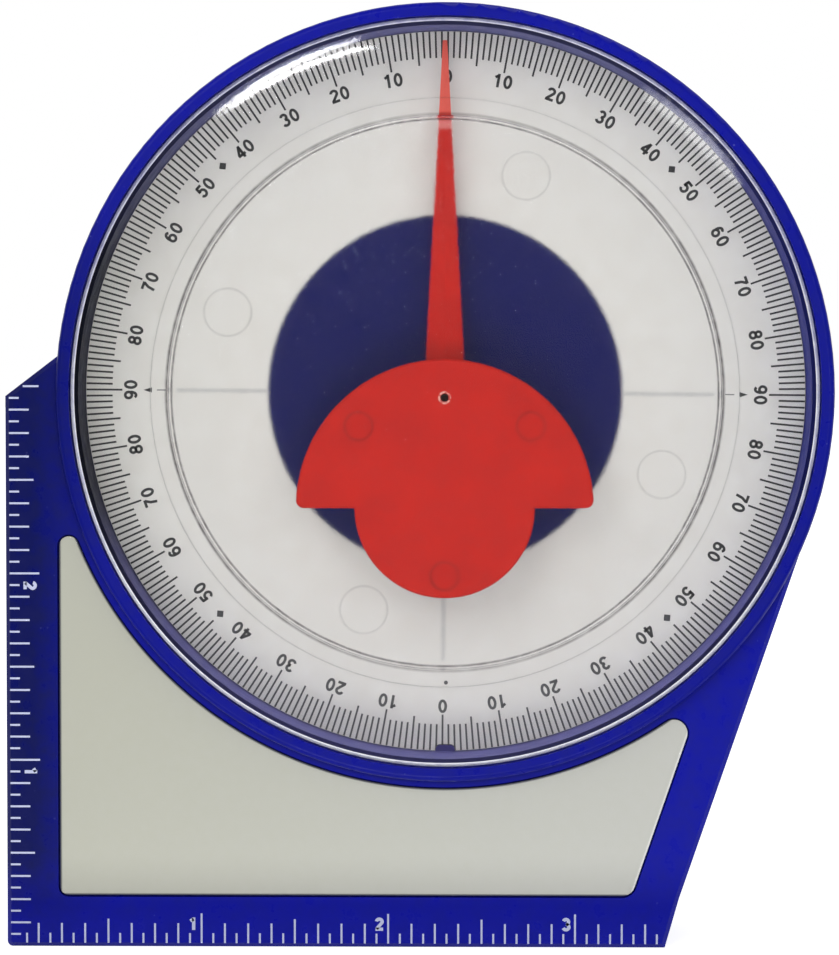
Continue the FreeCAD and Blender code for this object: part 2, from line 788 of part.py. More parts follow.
def make_rear_cover():
    body = new_body("rear_cover")
    panel = front_sketch(body, "cover_panel", back)
    inner_outline(panel, "(cover_lip + cover_gap)", "(base_block - cover_lip + cover_gap)")
    grow(body, panel, "cover_thickness")
    label_seat = front_sketch(body, "cover_label_seat", back)
    corners = rear_plate_outline(label_seat, "rear_plate_gap")
    feature = cut(body, label_seat, "rear_plate_thickness", turned=True)
    inner_face = f"({back} + rear_plate_thickness)"
    for corner in corners:
        test = is_depth_edge(*corner, back, inner_face)
        feature = soften(body, "Fillet", feature, test, "Radius", "(rear_plate_round + rear_plate_gap)")
    heads = front_sketch(body, "cover_head_seats", back)
    holes = front_sketch(body, "cover_holes", back)
    for x, z in screw_places():
        circle(heads, x, z, "(screw_head_radius + screw_head_gap)")
        circle(holes, x, z, "(screw_radius + screw_gap)")
    cut(body, heads, "screw_head", turned=True)
    cut(body, holes, "cover_thickness", turned=True)
    return body


def make_rear_plate():
    body = new_body("rear_plate")
    panel = front_sketch(body, "rear_plate_panel", back)
    corners = rear_plate_outline(panel, "0")
    feature = grow(body, panel, "rear_plate_thickness")
    for corner in corners:
        test = is_depth_edge(*corner, back, f"({back} + rear_plate_thickness)")
        feature = soften(body, "Fillet", feature, test, "Radius", "rear_plate_round")
    return body


def make_screws():
    """Five self-tapping screws with crossed slots, as separate solids of one piece."""
    screws = []
    for number, (x, z) in enumerate(screw_places(), start=1):
        head = doc.addObject("Part::Cylinder", f"screw_{number}_head")
        shank = doc.addObject("Part::Cylinder", f"screw_{number}_shank")
        for cylinder, radius, length in [(head, "screw_head_radius", "screw_head"),
                                         (shank, "screw_radius", "screw_length")]:
            cylinder.Placement = Placement(Vector(), Rotation(Vector(1, 0, 0), 90))
            bind(cylinder, "Radius", radius)
            bind(cylinder, "Height", length)
            bind(cylinder, "Placement.Base.x", x)
            bind(cylinder, "Placement.Base.y", f"-{back}")
            bind(cylinder, "Placement.Base.z", z)
        solid = doc.addObject("Part::Fuse", f"screw_{number}_blank")
        solid.Base, solid.Tool = head, shank
        slots = [("screw_head_radius", "screw_slot"), ("screw_slot", "screw_head_radius")]
        for slot, (wide, tall) in enumerate(slots):
            cutter = doc.addObject("Part::Box", f"screw_{number}_cutter_{slot}")
            bind(cutter, "Length", wide)
            bind(cutter, "Width", "screw_slot_depth")
            bind(cutter, "Height", tall)
            bind(cutter, "Placement.Base.x", f"{x} - {wide} / 2")
            bind(cutter, "Placement.Base.y", f"-{back} - screw_slot_depth")
            bind(cutter, "Placement.Base.z", f"{z} - {tall} / 2")
            slotted = doc.addObject("Part::Cut", f"screw_{number}_slotted_{slot}")
            slotted.Base, slotted.Tool = solid, cutter
            solid = slotted
        screws.append(solid)
    group = doc.addObject("Part::Compound", "rear_cover_screws")
    group.Links = screws
    group.Label = "rear_cover_screws"
    return group


def make_bars():
    """The bar magnets, and the steel keeper over the back of each."""
    bars = []
    for name, low, row in magnet_places():
        for kind, bottom, height in [("magnet", "magnet_recess", "magnet_height"),
                                     ("keeper", "(magnet_recess + magnet_height)", "keeper_thickness")]:
            bar = doc.addObject("Part::Box", f"{kind}_{name}")
            bar.Label = f"{kind}_{name}"
            bind(bar, "Length", "magnet_length")
            bind(bar, "Width", "magnet_width")
            bind(bar, "Height", height)
            bind(bar, "Placement.Base.x", low)
            bind(bar, "Placement.Base.y", f"{row} - magnet_width / 2")
            bind(bar, "Placement.Base.z", bottom)
            bars.append(bar)
    return bars


pieces = [
    make_housing(),
    make_front_plate(),
    make_dial_plate(),
    make_lens(),
    make_pendulum_disc(),
    make_counterweight(),
    make_needle(),
    make_pivot_bush(),
    make_pivot_pin(),
    make_thrust_washer(),
    make_rear_cover(),
    make_rear_plate(),
    make_screws(),
    *make_bars(),
]
doc.recompute()

faults = [thing.Label for thing in doc.Objects if "Invalid" in thing.State or "Error" in thing.State]
for piece in pieces:
    if piece.Shape.isNull() or not piece.Shape.isValid():
        faults.append(f"{piece.Label} has no valid shape")
if faults:
    raise RuntimeError("; ".join(faults))

os.makedirs("parts", exist_ok=True)
for piece in pieces:
    piece.Shape.exportStep(f"parts/{piece.Label}.step")
    print(piece.Label, len(piece.Shape.Solids), round(piece.Shape.Volume, 1))
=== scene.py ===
import math
import bpy
import numpy as np
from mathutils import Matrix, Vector


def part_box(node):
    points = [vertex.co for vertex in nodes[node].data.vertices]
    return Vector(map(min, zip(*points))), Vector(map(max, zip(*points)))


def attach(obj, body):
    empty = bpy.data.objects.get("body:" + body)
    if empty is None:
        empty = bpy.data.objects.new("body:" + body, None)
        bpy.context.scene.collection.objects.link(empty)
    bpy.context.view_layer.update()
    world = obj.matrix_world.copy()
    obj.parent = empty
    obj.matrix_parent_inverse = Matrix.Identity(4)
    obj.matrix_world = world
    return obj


# Dial inclinometer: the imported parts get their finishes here, and the prints are laid on them.
# The dial faces -Y and +Z is up. Sizes in the dictionaries are in millimetres and degrees.

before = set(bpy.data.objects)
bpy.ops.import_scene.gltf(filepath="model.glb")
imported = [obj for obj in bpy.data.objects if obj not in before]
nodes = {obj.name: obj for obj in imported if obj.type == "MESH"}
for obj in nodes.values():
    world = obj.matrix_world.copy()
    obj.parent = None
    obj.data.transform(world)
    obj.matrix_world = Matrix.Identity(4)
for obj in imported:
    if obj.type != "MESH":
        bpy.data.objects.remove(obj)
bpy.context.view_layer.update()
mm = 0.001
print("frame loaded:", len(nodes), "parts")

dialLow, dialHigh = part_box("dial_plate")
dialX = (dialLow.x + dialHigh.x) / 2 / mm
dialZ = (dialLow.z + dialHigh.z) / 2 / mm
dialFront = dialLow.y / mm
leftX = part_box("housing")[0].x / mm
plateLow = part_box("front_plate")[0]
plateSunk = 0.2       # the front plate lies this much behind the housing's flat face
faceY = plateLow.y / mm - plateSunk
lensStep = 0.7        # the lens's clear zone lies this much behind its raised middle
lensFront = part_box("lens")[0].y / mm + lensStep
crisp = 0.01          # the softness of an edge that looks sharp
noiseSpan = (0.3, 0.7)      # nearly all values of a noise lie between these


def addNode(tree, kind, values=None, **settings):
    node = tree.nodes.new(kind)
    for name, value in settings.items():
        setattr(node, name, value)
    for name, value in (values or {}).items():
        node.inputs[name].default_value = value
    return node


def wire(tree, source, target):
    tree.links.new(source, target)


def startMaterial(name, color, **values):
    material = bpy.data.materials.new(name)
    material.use_nodes = True
    shader = material.node_tree.nodes["Principled BSDF"]
    shader.inputs["Base Color"].default_value = (*color, 1)
    for socket, value in values.items():
        shader.inputs[socket.replace("_", " ")].default_value = value
    coords = addNode(material.node_tree, "ShaderNodeTexCoord").outputs["Object"]
    return material, material.node_tree, shader, coords


def mathNode(tree, operation, first, second=None, third=None, clamp=False):
    node = addNode(tree, "ShaderNodeMath", operation=operation, use_clamp=clamp)
    for slot, item in enumerate([first, second, third]):
        if item is None:
            continue
        if isinstance(item, (int, float)):
            node.inputs[slot].default_value = item
        else:
            tree.links.new(item, node.inputs[slot])
    return node.outputs[0]


def mixColor(tree, factor, first, second):
    node = addNode(tree, "ShaderNodeMix", data_type="RGBA")
    for slot, item in [(0, factor), (6, first), (7, second)]:
        if isinstance(item, (int, float)):
            node.inputs[slot].default_value = item
        elif isinstance(item, tuple):
            node.inputs[slot].default_value = (*item, 1)
        else:
            tree.links.new(item, node.inputs[slot])
    return node.outputs[2]


def spread(tree, value, low, high, start=0.0, end=1.0):
    node = addNode(tree, "ShaderNodeMapRange", {"From Min": low, "From Max": high, "To Min": start, "To Max": end})
    tree.links.new(value, node.inputs["Value"])
    return node.outputs["Result"]


def product(tree, first, *others):
    for other in others:
        first = mathNode(tree, "MULTIPLY", first, other)
    return first


def above(tree, value, level):
    return mathNode(tree, "GREATER_THAN", value, level)


def below(tree, value, level):
    return mathNode(tree, "LESS_THAN", value, level)


def grainRoughness(tree, shader, grain, ends):
    wire(tree, spread(tree, grain["Height"], *noiseSpan, *ends), shader.inputs["Roughness"])


def bumpNode(tree, shader, height, distance, strength):
    node = addNode(tree, "ShaderNodeBump", {"Distance": distance, "Strength": strength})
    wire(tree, height, node.inputs["Height"])
    wire(tree, node.outputs["Normal"], shader.inputs["Normal"])


def newGroup(name, inputs, outputs):
    group = bpy.data.node_groups.new(name, "ShaderNodeTree")
    for socket, kind, value in inputs:
        item = group.interface.new_socket(socket, in_out="INPUT", socket_type=kind)
        if value is not None:
            item.default_value = value
    for socket in outputs:
        group.interface.new_socket(socket, in_out="OUTPUT", socket_type="NodeSocketFloat")
    return group, group.nodes.new("NodeGroupInput"), group.nodes.new("NodeGroupOutput")


def useGroup(tree, group, coords, **values):
    node = addNode(tree, "ShaderNodeGroup", node_tree=group)
    tree.links.new(coords, node.inputs["Vector"])
    for name, value in values.items():
        node.inputs[name].default_value = value
    return node.outputs


def between(tree, value, low, high, soft):
    # 1 where the value lies between both ends, with soft edges.
    return product(tree, spread(tree, value, low - soft, low + soft),
                   spread(tree, value, high - soft, high + soft, 1.0, 0.0))


def ringMarks(tree, place, centres, radius, width):
    # Thin rings round some points of the dial: 1 where the distance to the nearest point is near the radius.
    spot = addNode(tree, "ShaderNodeCombineXYZ")
    wire(tree, place["Across"], spot.inputs["X"])
    wire(tree, place["Up"], spot.inputs["Y"])
    nearest = None
    for x, z in centres:
        gap = addNode(tree, "ShaderNodeVectorMath", {1: (x, z, 0)}, operation="DISTANCE")
        wire(tree, spot.outputs["Vector"], gap.inputs[0])
        distance = gap.outputs["Value"]
        nearest = distance if nearest is None else mathNode(tree, "MINIMUM", nearest, distance)
    return between(tree, nearest, radius - width / 2, radius + width / 2, width / 3)


def makeGrainGroup():
    # Grain of a moulding or print: Height is a fine noise, and Tone is a noise nine times as wide, stretched to 0
    # and 1.
    group, inlet, outlet = newGroup("fineGrain", [("Vector", "NodeSocketVector", None),
                                                  ("Size", "NodeSocketFloat", 1.0)], ["Height", "Tone"])
    scale = mathNode(group, "DIVIDE", 1000.0, inlet.outputs["Size"])
    fine = addNode(group, "ShaderNodeTexNoise", {"Detail": 4.0, "Roughness": 0.6})
    wide = addNode(group, "ShaderNodeTexNoise", {"Detail": 3.0, "Roughness": 0.55})
    for noise in (fine, wide):
        wire(group, inlet.outputs["Vector"], noise.inputs["Vector"])
    wire(group, scale, fine.inputs["Scale"])
    wire(group, mathNode(group, "MULTIPLY", scale, 0.11), wide.inputs["Scale"])
    wire(group, fine.outputs["Fac"], outlet.inputs["Height"])
    wire(group, spread(group, wide.outputs["Fac"], *noiseSpan), outlet.inputs["Tone"])
    return group


def makeSpeckGroup():
    # Small chips and dust: round cells with warped edges, of which only a chance share is kept.
    group, inlet, outlet = newGroup("specks", [("Vector", "NodeSocketVector", None),
                                               ("Size", "NodeSocketFloat", 1.0),
                                               ("Cover", "NodeSocketFloat", 0.5)], ["Mask"])
    scale = mathNode(group, "DIVIDE", 1000.0, inlet.outputs["Size"])
    warp = addNode(group, "ShaderNodeTexNoise", {"Scale": 2600.0, "Detail": 2.0})
    wire(group, inlet.outputs["Vector"], warp.inputs["Vector"])
    cells = addNode(group, "ShaderNodeTexVoronoi", feature="F1")
    wire(group, inlet.outputs["Vector"], cells.inputs["Vector"])
    wire(group, scale, cells.inputs["Scale"])
    chance = addNode(group, "ShaderNodeSeparateColor")
    wire(group, cells.outputs["Color"], chance.inputs["Color"])
    edge = mathNode(group, "MULTIPLY_ADD", warp.outputs["Fac"], 0.25, cells.outputs["Distance"])
    dot = below(group, edge, 0.27)
    kept = below(group, chance.outputs["Red"], inlet.outputs["Cover"])
    wire(group, product(group, chance.outputs["Green"], dot, kept), outlet.inputs["Mask"])
    return group


def makeRingGroup():
    # Places measured from the dial's middle in millimetres: Radius is the length of (Across, Up), and Out is the
    # distance before the world's XZ plane.
    group, inlet, outlet = newGroup("dialRadius", [("Vector", "NodeSocketVector", None)],
                                    ["Radius", "Across", "Up", "Out"])
    parts = addNode(group, "ShaderNodeSeparateXYZ")
    wire(group, inlet.outputs["Vector"], parts.inputs["Vector"])
    across = mathNode(group, "MULTIPLY_ADD", parts.outputs["X"], 1000.0, -dialX)
    up = mathNode(group, "MULTIPLY_ADD", parts.outputs["Z"], 1000.0, -dialZ)
    squared = mathNode(group, "MULTIPLY_ADD", across, across, product(group, up, up))
    wire(group, mathNode(group, "SQRT", squared), outlet.inputs["Radius"])
    wire(group, across, outlet.inputs["Across"])
    wire(group, up, outlet.inputs["Up"])
    wire(group, mathNode(group, "MULTIPLY", parts.outputs["Y"], -1000.0), outlet.inputs["Out"])
    return group


fineGrain = makeGrainGroup()
specks = makeSpeckGroup()
dialRadius = makeRingGroup()


caseFinish = {
    "bright": (0.0030, 0.0060, 0.345),
    # dark is both the grain's darker tone and the painted shade on the arm and the rim.
    "dark": (0.0015, 0.0045, 0.095),
    # navy is the painted shade on the hub in the middle of the cup.
    "navy": (0.0016, 0.0036, 0.102),
    # Painted light and shade on the wall, the key and the ledge round the dial:
    "wellLeft": (0.0030, 0.0050, 0.030),
    "wellRight": (0.020, 0.027, 0.300),
    "wellTop": (0.125, 0.130, 0.350),
    "wellLow": (0.112, 0.106, 0.430),
    "key": (0.070, 0.062, 0.220),
    "ledge": (0.26, 0.26, 0.60),
    "chip": (0.30, 0.33, 0.75),
    "chipSize": 0.9,
    "chipCover": 0.05,
    "chipStrength": 0.25,
    "gloss": 0.13,
    "roughness": (0.25, 0.42),
    "wallRough": 0.2,
    "grainSize": 0.22,
    "grainShade": 0.22,
    "bump": (0.00002, 0.5),
    # Painted shade, a deeper blue on the arm: from the arm to the base across, upwards from the foot, and from
    # inside to the front.
    "armEdge": (-52.5, -42.0),
    "armFoot": (4.0, 13.0),
    "armFront": (3.0, 9.5),
    "footShade": 0.25,
    "armShade": 0.9,
    # The rest is measured from the dial's middle, or from the front of the dial or the lens.
    "hubRadius": 25.0,
    # The wall, the key and the ledge that get painted light and shade:
    "wellInner": 44.0,
    "wellOuter": 50.58,
    "wellBack": 0.5,
    "wellFront": 0.4,
    "leftToRight": (-15.0, 40.0),
    "toTop": (18.0, 44.0),
    "toBottom": (-15.0, -42.0),
    "wallFoot": (1.0, 2.0),
    "wallFootShade": 0.4,
    "keyHalf": 3.4,
    "keyTop": -44.0,
    "keyFront": 0.9,
    "ledgeInner": 49.53,
    "ledgeFall": (-12.0, -44.0),
    "ledgeShade": 0.5,
    # The rim's painted shade:
    "rimOuter": 53.0,
    "rimDepth": 2.0,
    "rimFall": (15.0, 46.0),
    "rimShade": 0.26,
}


def makeCaseBlue():
    values = caseFinish
    material, tree, shader, coords = startMaterial("caseBlue", values["bright"], Specular_IOR_Level=values["gloss"])
    grain = useGroup(tree, fineGrain, coords, Size=values["grainSize"])
    place = useGroup(tree, dialRadius, coords)
    radius, across, up, out = (place[name] for name in ("Radius", "Across", "Up", "Out"))
    # Painted shade makes the arm a deeper blue than the base and the rim: a soft step across its inner edge, on its
    # front alone.
    arm = product(tree, spread(tree, across, *(edge - dialX for edge in values["armEdge"]), 1.0, 0.0),
                  spread(tree, up, *(edge - dialZ for edge in values["armFoot"]), values["footShade"], 1.0),
                  spread(tree, out, *values["armFront"]))
    tone = mathNode(tree, "MULTIPLY_ADD", grain["Tone"], values["grainShade"],
                    product(tree, arm, values["armShade"]), clamp=True)
    base = mixColor(tree, tone, values["bright"], values["dark"])
    chips = useGroup(tree, specks, coords, Size=values["chipSize"], Cover=values["chipCover"])
    base = mixColor(tree, product(tree, chips["Mask"], values["chipStrength"]), base, values["chip"])
    # Painted shade: the hub deep in the cup, behind the frosted lens, is made a dull navy.
    hub = product(tree, below(tree, radius, values["hubRadius"]), above(tree, out, 0.0))
    base = mixColor(tree, hub, base, values["navy"])
    # The wall and the ledge round the dial get painted light and shade: dark navy at the left, blue at the right,
    # greyer at the top and violet at the bottom, as if they catch what the white dial throws back. The key stands in
    # the wall and gets its own painted shade, and the ledge is painted lighter towards the bottom.
    wall = product(tree, between(tree, radius, values["wellInner"], values["wellOuter"], crisp),
                   below(tree, out, -lensFront - values["wellFront"]),
                   above(tree, out, -dialFront - values["wellBack"]))
    shade = mixColor(tree, spread(tree, across, *values["leftToRight"]), values["wellLeft"], values["wellRight"])
    shade = mixColor(tree, spread(tree, up, *values["toTop"]), shade, values["wellTop"])
    foot = (lift - dialFront for lift in values["wallFoot"])
    low = product(tree, spread(tree, up, *values["toBottom"]),
                  spread(tree, out, *foot, values["wallFootShade"], 1.0))
    shade = mixColor(tree, low, shade, values["wellLow"])
    key = product(tree, between(tree, across, -values["keyHalf"], values["keyHalf"], crisp),
                  below(tree, out, values["keyFront"] - dialFront), below(tree, up, values["keyTop"]))
    shade = mixColor(tree, key, shade, values["key"])
    ledge = product(tree, above(tree, radius, values["ledgeInner"]),
                    spread(tree, up, *values["ledgeFall"], 0.0, values["ledgeShade"]))
    base = mixColor(tree, wall, base, mixColor(tree, ledge, shade, values["ledge"]))
    # Painted shade: the front of the rim is made deeper at its sides and its bottom than at its top.
    rim = product(tree, between(tree, radius, values["wellOuter"], values["rimOuter"], crisp),
                  above(tree, out, -lensFront - values["rimDepth"]),
                  spread(tree, up, *values["rimFall"], values["rimShade"], 0.0))
    wire(tree, mixColor(tree, rim, base, values["dark"]), shader.inputs["Base Color"])
    rough = spread(tree, grain["Tone"], 0.0, 1.0, *values["roughness"])
    wire(tree, mathNode(tree, "MULTIPLY_ADD", wall, values["wallRough"], rough), shader.inputs["Roughness"])
    bumpNode(tree, shader, grain["Height"], *values["bump"])
    return material


plateFinish = {
    "grey": (0.578, 0.583, 0.540),
    # green is a painted tint of the light from one side.
    "green": (0.53, 0.535, 0.450),
    "greenSlope": 0.6,
    "greenAlong": (-60.0, 30.0),
    "metallic": 0.25,
    "roughness": (0.36, 0.50),
    "grainSize": 0.16,
    "grainShade": 0.15,
    "bump": (0.00001, 0.35),
    # The painted shadow and painted highlight along the edges: the round edge and the slanted one are measured from
    # the dial's middle.
    "shadow": (0.006, 0.008, 0.050),
    "shadowEdge": (0.10, 0.26),
    "shadowStrength": 0.85,
    "roundEdge": 53.75,
    "pale": (0.86, 0.87, 0.84),
    "paleEdge": (0.30, 0.18),
    "paleStrength": 0.7,
    "slantEdge": 46.25,
    "slantAngle": 19.0,
}


def makePlateSilver():
    values = plateFinish
    material, tree, shader, coords = startMaterial("plateSilver", values["grey"], Metallic=values["metallic"])
    place = useGroup(tree, dialRadius, coords)
    grain = useGroup(tree, fineGrain, coords, Size=values["grainSize"])
    # Painted light: greener towards the top left, as satin lacquer over metal looks when it is lit from one side.
    slope = mathNode(tree, "SUBTRACT", product(tree, place["Up"], values["greenSlope"]), place["Across"])
    tone = mathNode(tree, "MULTIPLY_ADD", grain["Tone"], values["grainShade"],
                    spread(tree, slope, *values["greenAlong"]), clamp=True)
    base = mixColor(tree, tone, values["grey"], values["green"])
    # A painted shadow: the fine dark line that the recess throws on the front plate's left, bottom and round edges,
    # from the least distance to those three. A painted highlight: the fine pale line on the slanted edge, from the
    # distance along the normal of that edge.
    edge = mathNode(tree, "SUBTRACT", place["Across"], plateLow.x / mm - dialX)
    edge = mathNode(tree, "MINIMUM", edge, mathNode(tree, "SUBTRACT", place["Up"], plateLow.z / mm - dialZ))
    edge = mathNode(tree, "MINIMUM", edge, mathNode(tree, "SUBTRACT", place["Radius"], values["roundEdge"]))
    front = above(tree, place["Out"], 0.0)
    dark = product(tree, spread(tree, edge, *values["shadowEdge"], values["shadowStrength"], 0.0), front)
    base = mixColor(tree, dark, base, values["shadow"])
    angle = math.radians(values["slantAngle"])
    slant = mathNode(tree, "MULTIPLY_ADD", place["Across"], math.cos(angle),
                     product(tree, place["Up"], -math.sin(angle)))
    pale = spread(tree, slant, *(values["slantEdge"] - inset for inset in values["paleEdge"]))
    base = mixColor(tree, product(tree, pale, front, values["paleStrength"]), base, values["pale"])
    wire(tree, base, shader.inputs["Base Color"])
    grainRoughness(tree, shader, grain, values["roughness"])
    bumpNode(tree, shader, grain["Height"], *values["bump"])
    return material


plainFinishes = {
    # Two colours mixed by the grain, the roughness at both ends of the grain, the grain's size, and its bump.
    "dialWhite": ((0.80, 0.785, 0.745), (0.76, 0.74, 0.695), (0.52, 0.68), 0.3, (0.00001, 0.3)),
    "magnetGrey": ((0.045, 0.045, 0.05), (0.085, 0.08, 0.08), (0.55, 0.8), 0.2, (0.00004, 0.8)),
    "washerWhite": ((0.75, 0.75, 0.73), (0.68, 0.68, 0.65), (0.5, 0.5), 0.2, (0.00001, 0.4)),
}


def makePlain(name):
    # A moulded, printed or sintered surface: the grain mixes two near colours and makes it a little uneven.
    first, second, roughness, size, bump = plainFinishes[name]
    material, tree, shader, coords = startMaterial(name, first)
    grain = useGroup(tree, fineGrain, coords, Size=size)
    wire(tree, mixColor(tree, grain["Tone"], first, second), shader.inputs["Base Color"])
    grainRoughness(tree, shader, grain, roughness)
    bumpNode(tree, shader, grain["Height"], *bump)
    return material


lensFinish = {
    "tint": (0.97, 0.975, 0.975),
    # line is the grey of the painted shade along the rings and marks.
    "line": (0.12, 0.11, 0.12),
    "shadowTint": (0.93, 0.93, 0.93, 1),
    "ior": 1.49,
    "frostedTo": 37.2,
    "frostSoft": 0.1,
    "frost": 0.13,
    "clear": 0.015,
    "frostUneven": (0.2, 0.8, 0.85, 1.15),
    "fineSize": 0.16,
    "pebbleSize": 0.42,
    "pebbleSoft": 0.3,
    "pebbleBump": (0.000016, 1.0),
    # Painted shade of the rings in the moulding: from, to, softness, strength at the top and bottom, strength at the
    # sides.
    "rings": [(36.75, 36.98, 0.08, 0.9, 0.95), (37.38, 37.72, 0.16, 0.5, 1.0), (39.66, 39.86, 0.2, 0.10, 0.14)],
    "ringSides": (8.0, 34.0),
    "ringUneven": (0.6, 1.1),
    "markRadius": 3.2,
    "markWidth": 0.3,
    "markStrength": 0.16,
    "markCircle": 31.2,
    "markStart": 69.5,
}


def makeLensClear():
    values = lensFinish
    material, tree, shader, coords = startMaterial("lensClear", values["tint"], Metallic=0.0, IOR=values["ior"],
                                                   Transmission_Weight=1.0)
    place = useGroup(tree, dialRadius, coords)
    grain = useGroup(tree, fineGrain, coords, Size=values["fineSize"])
    frost = spread(tree, place["Radius"], values["frostedTo"] - values["frostSoft"],
                   values["frostedTo"] + values["frostSoft"], values["frost"], values["clear"])
    wire(tree, product(tree, frost, spread(tree, grain["Height"], *values["frostUneven"])),
         shader.inputs["Roughness"])
    # Painted shade: grey rings for the two edges of the step, the step behind it and four round marks in the frosted
    # zone.
    angles = np.radians(values["markStart"] + 90 * np.arange(4))
    centres = (values["markCircle"] * np.stack([np.cos(angles), np.sin(angles)], 1)).tolist()
    lines = product(tree, ringMarks(tree, place, centres, values["markRadius"], values["markWidth"]),
                    values["markStrength"])
    sideways = mathNode(tree, "ABSOLUTE", place["Across"])
    for start, end, soft, upright, level in values["rings"]:
        ring = product(tree, between(tree, place["Radius"], start, end, soft),
                       spread(tree, sideways, *values["ringSides"], upright, level))
        lines = mathNode(tree, "MAXIMUM", lines, ring)
    uneven = product(tree, lines, spread(tree, grain["Tone"], 0.0, 1.0, *values["ringUneven"]))
    wire(tree, mixColor(tree, uneven, values["tint"], values["line"]), shader.inputs["Base Color"])
    # The frosted middle is pebbled: a coarser noise that stops at the step.
    pebbles = useGroup(tree, fineGrain, coords, Size=values["pebbleSize"])
    middle = spread(tree, place["Radius"], values["frostedTo"] - values["pebbleSoft"], values["frostedTo"], 1.0, 0.0)
    bumpNode(tree, shader, product(tree, pebbles["Height"], middle), *values["pebbleBump"])
    # Light reaches the dial through the lens: shadow rays pass it as if it were open.
    output = tree.nodes["Material Output"]
    through = addNode(tree, "ShaderNodeBsdfTransparent", {"Color": values["shadowTint"]})
    mix = addNode(tree, "ShaderNodeMixShader")
    path = addNode(tree, "ShaderNodeLightPath")
    wire(tree, path.outputs["Is Shadow Ray"], mix.inputs[0])
    wire(tree, shader.outputs["BSDF"], mix.inputs[1])
    wire(tree, through.outputs["BSDF"], mix.inputs[2])
    wire(tree, mix.outputs["Shader"], output.inputs["Surface"])
    return material


redFinish = {
    "red": (0.60, 0.0090, 0.0020),
    "deep": (0.52, 0.0065, 0.0018),
    "gloss": 0.15,
    "roughness": (0.42, 0.56),
    "grainSize": 0.5,
    "bump": (0.00003, 0.4),
    "chip": (0.80, 0.22, 0.17),
    "chipSize": 1.1,
    "chipCover": 0.04,
    "chipStrength": 0.12,
    # Centres and radii are measured from the dial's middle.
    # ring is the painted shade in the outlines of the disc's round marks.
    "ring": (0.26, 0.004, 0.002),
    "ringCentres": [(-11.65, -4.45), (11.65, -4.45), (0.0, -24.75)],
    "ringRadius": 1.9,
    "ringWidth": 0.35,
    "ringStrength": 0.55,
    "rim": (0.90, 0.54, 0.47),
    "rimCentre": (0.0, -0.6),
    "rimRadius": 0.74,
    "rimWidth": 0.22,
    "rimKept": (0.42, 0.52),
    "tip": (0.80, 0.125, 0.095),
    "tipFrom": (37.6, 38.4),
    # pink is painted light on the needle under the lens's step.
    "pink": (0.84, 0.28, 0.26),
    "pinkFrom": (35.9, 37.1),
    "pinkSoft": 0.3,
    "pinkStrength": 0.7,
}


def makePendulumRed():
    values = redFinish
    material, tree, shader, coords = startMaterial("pendulumRed", values["red"], Specular_IOR_Level=values["gloss"])
    grain = useGroup(tree, fineGrain, coords, Size=values["grainSize"])
    base = mixColor(tree, grain["Tone"], values["red"], values["deep"])
    chips = useGroup(tree, specks, coords, Size=values["chipSize"], Cover=values["chipCover"])
    base = mixColor(tree, product(tree, chips["Mask"], values["chipStrength"]), base, values["chip"])
    place = useGroup(tree, dialRadius, coords)
    # Round marks on the disc with painted shade in their outlines, a chipped pale rim round its hole, and a needle
    # that is paler outside the frosted middle, with painted light that is pinkest under the lens's step.
    rings = ringMarks(tree, place, values["ringCentres"], values["ringRadius"], values["ringWidth"])
    base = mixColor(tree, product(tree, rings, values["ringStrength"]), base, values["ring"])
    rim = product(tree, ringMarks(tree, place, [values["rimCentre"]], values["rimRadius"], values["rimWidth"]),
                  spread(tree, grain["Height"], *values["rimKept"]))
    base = mixColor(tree, rim, base, values["rim"])
    base = mixColor(tree, spread(tree, place["Radius"], *values["tipFrom"]), base, values["tip"])
    # Painted light: the lens's step bends and mirrors light over the needle, pinkest here.
    pink = product(tree, between(tree, place["Radius"], *values["pinkFrom"], values["pinkSoft"]),
                   values["pinkStrength"])
    wire(tree, mixColor(tree, pink, base, values["pink"]), shader.inputs["Base Color"])
    grainRoughness(tree, shader, grain, values["roughness"])
    bumpNode(tree, shader, grain["Height"], *values["bump"])
    return material


metalFinishes = {
    "brass": {"color": (0.60, 0.40, 0.14), "roughness": (0.28, 0.48)},
    "steel": {"color": (0.42, 0.42, 0.43), "roughness": (0.32, 0.52)},
    "screwSteel": {"color": (0.50, 0.49, 0.46), "roughness": (0.26, 0.46)},
}
metalGrain = {"size": 0.12, "worn": 0.7, "bump": (0.00001, 0.4)}
pinTipDark = {"color": (0.030, 0.012, 0.010), "radius": 1.6}


def makeMetal(name):
    values = metalFinishes[name]
    material, tree, shader, coords = startMaterial(name, values["color"], Metallic=1.0)
    grain = useGroup(tree, fineGrain, coords, Size=metalGrain["size"])
    worn = tuple(part * metalGrain["worn"] for part in values["color"])
    base = mixColor(tree, grain["Tone"], values["color"], worn)
    if name == "steel":
        # The pin's tip is darker near the dial's axis, where it shows through the hole in the disc.
        place = useGroup(tree, dialRadius, coords)
        base = mixColor(tree, below(tree, place["Radius"], pinTipDark["radius"]), base, pinTipDark["color"])
    wire(tree, base, shader.inputs["Base Color"])
    wire(tree, spread(tree, grain["Tone"], 0.0, 1.0, *values["roughness"]), shader.inputs["Roughness"])
    bumpNode(tree, shader, grain["Height"], *metalGrain["bump"])
    return material


